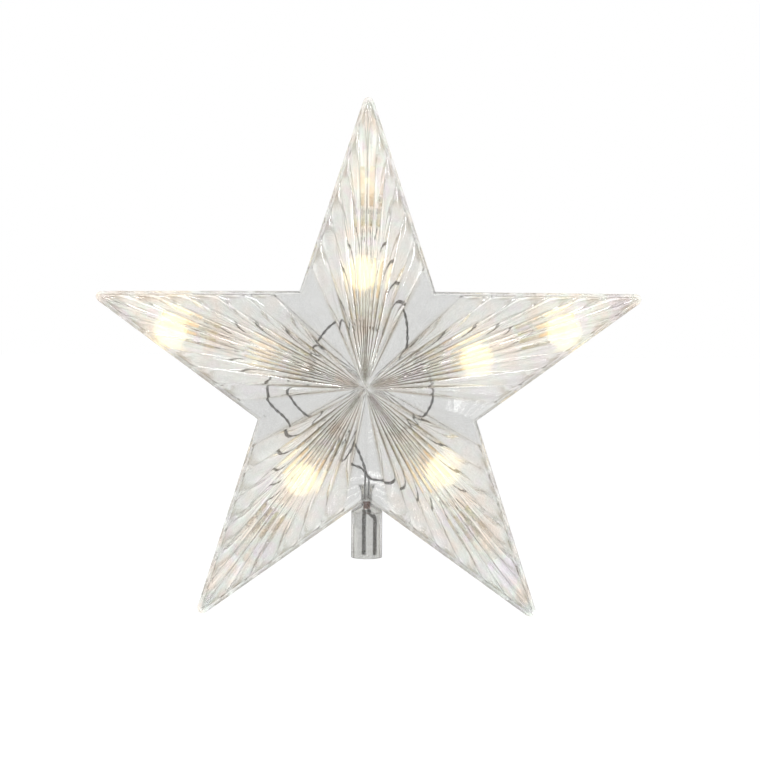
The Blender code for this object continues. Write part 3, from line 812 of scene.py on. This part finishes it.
def cradle_mesh(name, arm, reach):
    """The moulded rib that a lamp holder lies in; its foot follows the shell's inner face."""
    notch = HOLDER_RADIUS + SEAT_GAP
    cheek = notch + CRADLE_CHEEK
    mouth = [(cheek, 0.0), *arc((0, 0), notch, 0, 180, CRADLE_STEPS), (-cheek, 0.0)]
    foot = [(-cheek, None), (0.0, None), (cheek, None)]
    shape = bmesh.new()
    ends = []
    for along in (reach - CRADLE_THICKNESS / 2, reach + CRADLE_THICKNESS / 2):
        end = []
        for across, y in mouth + foot:
            place = arm_point(arm, along, across)
            place.y = inner_height(place.x, place.z) if y is None else y
            end.append(shape.verts.new(place + HUB))
        ends.append(end)
    join_rings(shape, *ends)
    for end in ends:
        shape.faces.new(end)
    return finished_mesh(name, shape, SHARP_DEGREES)


def build_shells(plastic):
    tree = flute_tree()
    front_rings = ((WALL, seam_face), (WALL, inside_face))
    rear_rings = (
        (LIP_INSET, seam_face),
        (LIP_INSET, lip_top),
        (LIP_INNER_INSET, lip_top),
        (LIP_INNER_INSET, inside_face),
    )
    front = half_shell_mesh("front_star_half", -1, front_rings, tree, plastic)
    rear = half_shell_mesh("rear_star_half", 1, rear_rings, tree, plastic)
    new_piece("front_star_half", front, plastic, "front_cover", "clear_plastic", "front_shell")
    new_piece("rear_star_half", rear, plastic, "star_body", "clear_plastic", "rear_shell")
    for arm in ARM_NAMES:
        for row, reach in LAMP_BASE_REACH.items():
            name = f"cradle_{arm}_{row}"
            mesh = cradle_mesh(name, arm, reach + HOLDER_LENGTH / 2)
            new_piece(name, mesh, plastic, "star_body", "clear_plastic")


# Socket tube, sleeve and leads


def cone_height(radius):
    """Height of the tube's conical shoulder, which lies along the star's bottom notch."""
    return STAR_HEIGHT - NOTCH_RADIUS - NOTCH_SLOPE * radius - NOTCH_CLEARANCE


def flare_heights():
    """Heights of the root and the top of the flare that holds the tube inside the shells."""
    root = STAR_HEIGHT - outline_radius(HALF_PITCH, LIP_INNER_INSET)
    return root, root + FLARE_RISE


def sleeve_heights():
    """Heights of the sleeve's foot, just below the bore's roof, and of its head."""
    foot = cone_height(NECK_BORE_RADIUS) - ROOF_RISE - SLEEVE_PROUD
    return foot, foot + SLEEVE_LENGTH


def build_tube(plastic, sleeve_rubber):
    flare, top = flare_heights()
    flare_radius = inner_height(0, top - STAR_HEIGHT) - SEAT_GAP / math.cos(math.atan(FACE_SLOPE))
    bore = TUBE_RADIUS - TUBE_WALL
    edge = TUBE_EDGE
    profile = [
        *arc((bore + edge, edge), edge, 180, 270, EDGE_STEPS),
        *arc((TUBE_RADIUS - edge, edge), edge, 270, 360, EDGE_STEPS),
        (TUBE_RADIUS, cone_height(TUBE_RADIUS) - edge),
        (TUBE_RADIUS - edge, cone_height(TUBE_RADIUS - edge)),
        (NECK_RADIUS + edge, cone_height(NECK_RADIUS + edge)),
        (NECK_RADIUS, cone_height(NECK_RADIUS) + edge),
        (NECK_RADIUS, flare), (flare_radius, top), (NECK_BORE_RADIUS, top),
        (NECK_BORE_RADIUS, cone_height(NECK_BORE_RADIUS) - ROOF_RISE),
        (bore - edge, cone_height(bore - edge) - ROOF_RISE),
        (bore, cone_height(bore) - ROOF_RISE - edge),
    ]
    tube = lathe("clear_socket_tube", profile, Matrix.Identity(4), TUBE_SHARP_DEGREES, ring=True)
    new_piece("clear_socket_tube", tube, plastic, "star_body", "clear_tube_plastic", "socket_tube")
    foot, head = sleeve_heights()
    profile = [
        (0, foot), *arc((SLEEVE_RADIUS - edge, foot + edge), edge, 270, 360, EDGE_STEPS),
        *arc((SLEEVE_RADIUS - edge, head - edge), edge, 0, 90, EDGE_STEPS), (0, head),
    ]
    sleeve = lathe("shrink_sleeve", profile, Matrix.Identity(4))
    new_piece("shrink_sleeve", sleeve, sleeve_rubber, "star_body", "brown_sleeve", "lead_sleeve")


# Lamp string


def holder_profile():
    """A lamp holder's (radius, height) points, from its socket's floor over its collar down to its foot."""
    floor = HOLDER_LENGTH - SOCKET_DEPTH
    socket = STEM_RADIUS + SEAT_GAP
    collar = HOLDER_LENGTH - COLLAR_LENGTH
    edge, chamfer = LAMP_EDGE, HOLDER_CHAMFER
    ring_foot, ring_head = HOLDER_RING
    ring = HOLDER_RADIUS - HOLDER_RING_DEPTH
    return [
        (0, floor), (socket, floor), (socket, HOLDER_LENGTH - chamfer), (socket + chamfer, HOLDER_LENGTH),
        *arc((COLLAR_RADIUS - edge, HOLDER_LENGTH - edge), edge, 90, 0, EDGE_STEPS),
        (COLLAR_RADIUS, collar + chamfer), (COLLAR_RADIUS - chamfer, collar), (HOLDER_RADIUS, collar),
        (HOLDER_RADIUS, ring_head), (ring, ring_head - HOLDER_RING_SLOPE),
        (ring, ring_foot + HOLDER_RING_SLOPE), (HOLDER_RADIUS, ring_foot),
        *arc((HOLDER_RADIUS - edge, edge), edge, 0, -90, EDGE_STEPS), (0, 0),
    ]


def lamp_profile():
    """A lamp's (radius, height) points: the stem in its holder, then its shoulder and its domed bulb."""
    stem = HOLDER_LENGTH - SOCKET_DEPTH + SEAT_GAP
    foot = HOLDER_LENGTH + SEAT_GAP
    root = foot + BULB_LENGTH - BULB_DOME
    quarter = arc((0, 0), 1, 0, 90, DOME_STEPS)
    dome = [(radius * BULB_RADIUS, root + rise * BULB_DOME) for radius, rise in quarter[:-1]]
    return [
        (0, stem), (STEM_RADIUS, stem), (STEM_RADIUS, foot),
        (BULB_RADIUS - LAMP_EDGE, foot + BULB_SHOULDER - LAMP_EDGE), (BULB_RADIUS, foot + BULB_SHOULDER),
        *dome, (0, foot + BULB_LENGTH),
    ]


def build_lamps(plastic, bright, faint, unlit):
    """Two lamps in their holders along each arm, given the holders' plastic and the three kinds of bulb."""
    for arm in ARM_NAMES:
        turn = Matrix.Rotation(ARM_ANGLE[arm], 4, "Y")
        for row, reach in LAMP_BASE_REACH.items():
            spot = f"{arm}_{row}"
            place = Matrix.Translation(arm_point(arm, reach, 0) + HUB) @ turn
            holder = lathe("lamp_socket_" + spot, holder_profile(), place)
            new_piece(holder.name, holder, plastic, "star_body", "holder_plastic", "holder_" + spot)
            glow = bright if spot in BRIGHT_LAMPS else faint if spot in FAINT_LAMPS else unlit
            bulb = lathe("bulb_" + spot, lamp_profile(), place)
            new_piece(bulb.name, bulb, glow, "star_body", "warm_lamp", "lamp_" + spot)


def wire_end(arm, row, place):
    """Where a wire meets the back of a holder, and a point that keeps it square; place is -1, 0 or 1."""
    reach = LAMP_BASE_REACH[row] - SEAT_GAP
    across = place * WIRE_SPACING
    return [arm_point(arm, reach, across), arm_point(arm, reach - WIRE_DIAMETER, across)]


def behind(arm, row, back, across, y=0.0):
    """A place in an arm, given by how far it lies behind the back of a holder."""
    return arm_point(arm, LAMP_BASE_REACH[row] - back, across, y)


def beside_lamp(arm, side, depth):
    """The stretch from behind an inner holder, round its side, to just behind the outer holder."""
    return [
        behind(arm, "inner", 0.0039, side * 0.0030, depth),
        behind(arm, "inner", 0.0035, side * 0.0056, depth),
        behind(arm, "inner", -0.0045, side * 0.0068, depth),
        behind(arm, "inner", -0.0155, side * 0.0068, depth),
        behind(arm, "outer", 0.0105, side * 0.0054, depth),
        behind(arm, "outer", 0.0045, side * 0.0028, depth / 2),
    ]


def at(x, z, y=0.0):
    """A place from the hub, by how it shows from the front: across, up, and then its depth."""
    return Vector((x, y, z))


def string_routes():
    """The twisted pair's stretches from the hub's own origin, by the points chosen along each route."""
    return {
        "wire_supply_to_lower_left": [
            at(*SUPPLY_MEETING), at(-0.0040, -0.0270, 0.0020), at(-0.0085, -0.0200, 0.0015),
            at(-0.0128, -0.0178, 0.0006),
            *wire_end("lower_left", "inner", 0)[::-1],
        ],
        "wire_lower_left_to_lower_right": [
            *wire_end("lower_left", "inner", -1), behind("lower_left", "inner", 0.0037, -0.0048, -0.0008),
            at(-0.0086, -0.0270, -0.0014), at(-0.0071, -0.0318, -0.0016), at(-0.0022, -0.0342, -0.0018),
            at(0.0019, -0.0383, -0.0018), at(0.0072, -0.0391, -0.0014), at(0.0174, -0.0420, -0.0006),
            behind("lower_right", "outer", 0.0115, 0.0068), behind("lower_right", "outer", 0.0050, 0.0032),
            *wire_end("lower_right", "outer", 1)[::-1],
        ],
        "wire_along_lower_right": [
            *wire_end("lower_right", "inner", 1), behind("lower_right", "inner", 0.0045, 0.0004, 0.0022),
            *beside_lamp("lower_right", -1, 0.0022), *wire_end("lower_right", "outer", -1)[::-1],
        ],
        "wire_lower_right_to_right": [
            *wire_end("lower_right", "inner", -1), behind("lower_right", "inner", 0.0045, -0.0040, -0.0012),
            behind("lower_right", "inner", 0.0053, -0.0080, -0.0016), at(0.0231, -0.0126, -0.0016),
            at(0.0262, -0.0070, -0.0016), at(0.0268, -0.0010, -0.0014), at(0.0254, 0.0036, -0.0008),
            *wire_end("right", "inner", 1)[::-1],
        ],
        "wire_along_right": [
            *wire_end("right", "inner", -1), *beside_lamp("right", -1, 0.0012),
            *wire_end("right", "outer", 0)[::-1],
        ],
        "wire_right_to_top": [
            *wire_end("right", "inner", 0), behind("right", "inner", 0.0070, -0.0014, -0.0006),
            at(0.0133, 0.0099, -0.0012), at(0.0162, 0.0161, -0.0014), at(0.0154, 0.0271, -0.0014),
            at(0.0125, 0.0345, -0.0012), behind("top", "outer", 0.0195, 0.0088, -0.0006),
            behind("top", "outer", 0.0095, 0.0056), behind("top", "outer", 0.0045, 0.0028),
            *wire_end("top", "outer", 1)[::-1],
        ],
        "wire_along_top": [
            *wire_end("top", "inner", 1), behind("top", "inner", 0.0045, 0.0004, 0.0022),
            *beside_lamp("top", -1, 0.0022), *wire_end("top", "outer", -1)[::-1],
        ],
        "wire_top_to_left": [
            *wire_end("top", "inner", -1), at(-0.0044, 0.0236, -0.0012), at(-0.0084, 0.0246, -0.0014),
            at(-0.0124, 0.0255, -0.0014), at(-0.0180, 0.0205, -0.0014), at(-0.0214, 0.0144, -0.0014),
            behind("left", "inner", 0.0047, 0.0040, -0.0010), *wire_end("left", "inner", 1)[::-1],
        ],
        "wire_along_left": [
            *wire_end("left", "inner", 0), behind("left", "inner", 0.0047, 0.0008, 0.0020),
            *beside_lamp("left", 1, 0.0024), *wire_end("left", "outer", 1)[::-1],
        ],
        "wire_left_to_lower_left_outer": [
            *wire_end("left", "outer", -1), behind("left", "outer", 0.0055, -0.0030),
            behind("left", "outer", 0.0145, -0.0078),
            at(-0.0402, 0.0018), at(-0.0406, -0.0064), at(-0.0316, -0.0166),
            behind("lower_left", "outer", 0.0255, 0.0126), behind("lower_left", "outer", 0.0155, 0.0084),
            behind("lower_left", "outer", 0.0065, 0.0030), *wire_end("lower_left", "outer", 0)[::-1],
        ],
        "wire_left_to_lower_left_inner": [
            *wire_end("left", "inner", -1), behind("left", "inner", 0.0037, -0.0044, -0.0006),
            behind("left", "inner", 0.0015, -0.0080, -0.0010), at(-0.0326, -0.0003, -0.0010),
            at(-0.0304, -0.0064, -0.0010), at(-0.0243, -0.0130, -0.0010),
            behind("lower_left", "inner", 0.0059, 0.0066, -0.0010),
            behind("lower_left", "inner", 0.0045, 0.0032, -0.0006),
            *wire_end("lower_left", "inner", 1)[::-1],
        ],
    }


def lead_routes():
    """The two supply leads, which part below the sleeve and run down the bore's wall."""
    start = sleeve_heights()[0] - SEAT_GAP
    root = (LEAD_DIAMETER + SEAT_GAP) / 2
    reach = TUBE_RADIUS - TUBE_WALL - LEAD_DIAMETER / 2 - SEAT_GAP
    routes = {}
    for name, side, degrees in zip(("lead_left", "lead_right"), (-1, 1), LEAD_ANGLES):
        angle = math.radians(degrees)
        wall = Vector((reach * math.cos(angle), reach * math.sin(angle), 0))
        below = Vector((side * root, 0, start - LEAD_STRAIGHT))
        beside = wall + Vector((0, 0, start - LEAD_STRAIGHT - LEAD_BEND))
        routes[name] = [
            Vector((side * root, 0, start)), below, below.lerp(beside, 0.5), beside,
            wall + Vector((0, 0, beside.z / 2)), wall + Vector((0, 0, LEAD_END)),
        ]
    return routes


def supply_strands():
    """The supply pair's two strands, apart in the tube's neck and together where they begin to twist."""
    low = sleeve_heights()[1] + SEAT_GAP - STAR_HEIGHT
    top = flare_heights()[1] - STAR_HEIGHT
    x, z, y = SUPPLY_MEETING
    routes = []
    for side in (-1, 1):
        apart = side * SUPPLY_PARTING
        routes.append([
            at(apart, low), at(apart, low + WIRE_DIAMETER), at(apart, top),
            at(side * 0.0009, -0.0385, 0.0006), at(x + side * STRAND_RADIUS, z, y),
        ])
    return routes


def smooth_points(route, parts=12):
    """Points on a Catmull-Rom curve through the route's own points."""
    knots = [route[0] * 2 - route[1], *route, route[-1] * 2 - route[-2]]
    fine = []
    for a, b, c, d in zip(knots, knots[1:], knots[2:], knots[3:]):
        for part in range(parts):
            t = part / parts
            bend = (a * 2 - b * 5 + c * 4 - d) * t**2 + (b * 3 - a - c * 3 + d) * t**3
            fine.append((b * 2 + (c - a) * t + bend) / 2)
    return fine + [route[-1]]


def strand_mesh(name, route, tree, values):
    curve = bpy.data.curves.new(name + "_route", "CURVE")
    curve.dimensions = "3D"
    points = smooth_points(route)
    spline = curve.splines.new("POLY")
    spline.points.add(len(points) - 1)
    for point, place in zip(spline.points, points):
        point.co = (*place, 1.0)
    return smoothed(mesh_by_tree(name, curve, tree, values), STRAND_SHARP_DEGREES)


def joined_mesh(name, meshes, cover):
    shape = bmesh.new()
    for mesh in meshes:
        shape.from_mesh(mesh)
    whole = finished_mesh(name, shape, STRAND_SHARP_DEGREES)
    whole.materials.append(cover)
    return whole


def from_hub(route):
    return [point + HUB for point in route]


def build_string(cover, lead_cover):
    tree = strand_tree()
    pair = {
        "Strand radius": STRAND_RADIUS,
        "Spread": WIRE_DIAMETER / 2 - STRAND_RADIUS,
        "Turns per metre": 1 / WIRE_PITCH,
        "Step": WIRE_STEP,
        "Cover": cover,
    }
    single = {**pair, "Spread": 0.0, "Turns per metre": 0.0}
    for node, route in string_routes().items():
        name = "pair_" + node.removeprefix("wire_")
        mesh = strand_mesh(name, from_hub(route), tree, pair)
        if node == "wire_supply_to_lower_left":
            strands = [from_hub(strand) for strand in supply_strands()]
            apart = [strand_mesh("supply_strand", strand, tree, single) for strand in strands]
            mesh = joined_mesh(name, [mesh, *apart], cover)
        new_piece(name, mesh, cover, "star_body", "wire_cover", node)
    lead = {**single, "Strand radius": LEAD_DIAMETER / 2, "Cover": lead_cover}
    for node, route in lead_routes().items():
        name = "supply_" + node
        new_piece(name, strand_mesh(name, route, tree, lead), lead_cover, "star_body", "wire_cover", node)


# Stage, light and camera


def ray_mask(nodes, links, kinds):
    """1 for rays of any of these kinds."""
    path = nodes.new("ShaderNodeLightPath")
    total = path.outputs[kinds[0]]
    for kind in kinds[1:]:
        total = combined(nodes, links, "MAXIMUM", total, path.outputs[kind])
    return total


def shader_mix(nodes, links, share, first, second):
    """The output of a mix of two surfaces or backgrounds."""
    mix = nodes.new("ShaderNodeMixShader")
    for socket, source in zip(mix.inputs, (share, first, second)):
        links.new(source, socket)
    return mix.outputs["Shader"]


def build_world():
    """A soft room light; the camera sees white, and clear plastic shows a room that greys to its sides."""
    world = bpy.data.worlds.new("white_studio")
    bpy.context.scene.world = world
    world.use_nodes = True
    nodes, links = world.node_tree.nodes, world.node_tree.links
    nodes.clear()
    room = nodes.new("ShaderNodeBackground")
    set_inputs(room, {"Color": (*ROOM_COLOUR, 1), "Strength": ROOM_LIGHT})
    white = set_inputs(nodes.new("ShaderNodeBackground"), {"Color": (1, 1, 1, 1)})
    glass = nodes.new("ShaderNodeBackground")
    direction = nodes.new("ShaderNodeTexCoord")
    parts = nodes.new("ShaderNodeSeparateXYZ")
    depth = nodes.new("ShaderNodeMath")
    depth.operation = "ABSOLUTE"
    links.new(direction.outputs["Generated"], parts.inputs["Vector"])
    links.new(parts.outputs["Y"], depth.inputs[0])
    overhead = GLASS_LIGHT * CEILING_SHARE
    ranged(nodes, links, parts.outputs["Z"], GLASS_LIGHT, overhead, glass.inputs["Strength"])
    stops = [(place, tuple(part / GLASS_LIGHT for part in colour)) for place, colour in STUDIO_COLOURS]
    tinted(nodes, links, depth.outputs["Value"], stops, glass.inputs["Color"])
    reflected = ray_mask(nodes, links, ("Is Glossy Ray", "Is Transmission Ray"))
    seen = shader_mix(nodes, links, reflected, room.outputs["Background"], glass.outputs["Background"])
    straight = ray_mask(nodes, links, ("Is Camera Ray",))
    whole = shader_mix(nodes, links, straight, seen, white.outputs["Background"])
    links.new(whole, nodes.new("ShaderNodeOutputWorld").inputs["Surface"])


def build_floor():
    """A pale floor well below the held-up star; it reads white and keeps a soft shadow."""
    shape = bmesh.new()
    bmesh.ops.create_grid(shape, x_segments=1, y_segments=1, size=FLOOR_SIZE)
    bmesh.ops.translate(shape, vec=(0, 0, -FLOOR_DROP), verts=shape.verts)
    mesh = mesh_from("pale_floor", shape)
    floor = linked("pale_floor", mesh)
    material, nodes, links, shader = new_material("pale_floor_paint")
    set_inputs(shader, {"Base Color": (*FLOOR_COLOUR, 1), "Roughness": FLOOR_ROUGHNESS})
    surface = shader.outputs["BSDF"]
    for kind, level, weight in FLOOR_RAYS:
        white = set_inputs(nodes.new("ShaderNodeEmission"), {"Strength": level})
        share = combined(nodes, links, "MULTIPLY", ray_mask(nodes, links, (kind,)), weight)
        surface = shader_mix(nodes, links, share, surface, white.outputs["Emission"])
    links.new(surface, nodes["Material Output"].inputs["Surface"])
    mesh.materials.append(material)


def area_light(name, place, size, power):
    """A softbox that faces the star's hub."""
    light = bpy.data.lights.new(name, "AREA")
    light.shape = "RECTANGLE"
    light.size, light.size_y = size
    light.energy = power
    lamp = linked(name, light)
    lamp.location = place
    lamp.rotation_mode = "QUATERNION"
    lamp.rotation_quaternion = (HUB - Vector(place)).to_track_quat("-Z", "Y")


def build_camera():
    """The photograph's view: nearly straight on, from slightly above and to the right."""
    data = bpy.data.cameras.new("photo_camera")
    data.sensor_width = SENSOR_WIDTH
    data.lens = SENSOR_WIDTH * CAMERA_DISTANCE / (IMAGE_WIDTH * PIXEL)
    data.clip_end = CAMERA_SIGHT
    camera = linked("photo_camera", data)
    azimuth, elevation = math.radians(CAMERA_AZIMUTH), math.radians(CAMERA_ELEVATION)
    level = math.cos(elevation)
    back = Vector((math.sin(azimuth) * level, -math.cos(azimuth) * level, math.sin(elevation)))
    aim = (-back).to_track_quat("-Z", "Y").to_matrix()
    right, up = aim.col[0], aim.col[1]
    half = IMAGE_WIDTH / 2
    centre = HUB + right * (half - HUB_PIXEL[0]) * PIXEL - up * (half - HUB_PIXEL[1]) * PIXEL
    turn = Matrix.Rotation(math.radians(CAMERA_ROLL), 3, back)
    camera.rotation_mode = "QUATERNION"
    camera.rotation_quaternion = (turn @ aim).to_quaternion()
    camera.location = centre + back * CAMERA_DISTANCE
    bpy.context.scene.camera = camera


def main():
    star_plastic = fluted_plastic("clear_star_plastic")
    tube_plastic = clear_plastic("clear_tube_plastic", TUBE_COLOUR, wave_scale=90, wave_strength=0.05)
    wire_cover = covered("dark_wire_cover", WIRE_COLOURS, roughness=0.45, wave_scale=900)
    lead_cover = covered("grey_lead_cover", LEAD_COLOURS, roughness=0.45, wave_scale=900)
    sleeve_rubber = covered("brown_sleeve_rubber", SLEEVE_COLOURS, roughness=0.5, wave_scale=700)
    holder = holder_plastic("pale_holder_plastic")
    bright = lamp_glow("lit_lamp", strength=0.45, warmth=1.0)
    faint = lamp_glow("faint_lamp", strength=0.30, warmth=0.6)
    unlit = thin_plastic("unlit_lamp", UNLIT_COLOUR)
    build_shells(star_plastic)
    build_tube(tube_plastic, sleeve_rubber)
    build_lamps(holder, bright, faint, unlit)
    build_string(wire_cover, lead_cover)
    build_world()
    build_floor()
    for softbox in SOFTBOXES:
        area_light(*softbox)
    build_camera()
    bpy.context.scene.view_settings.view_transform = "Standard"


main()
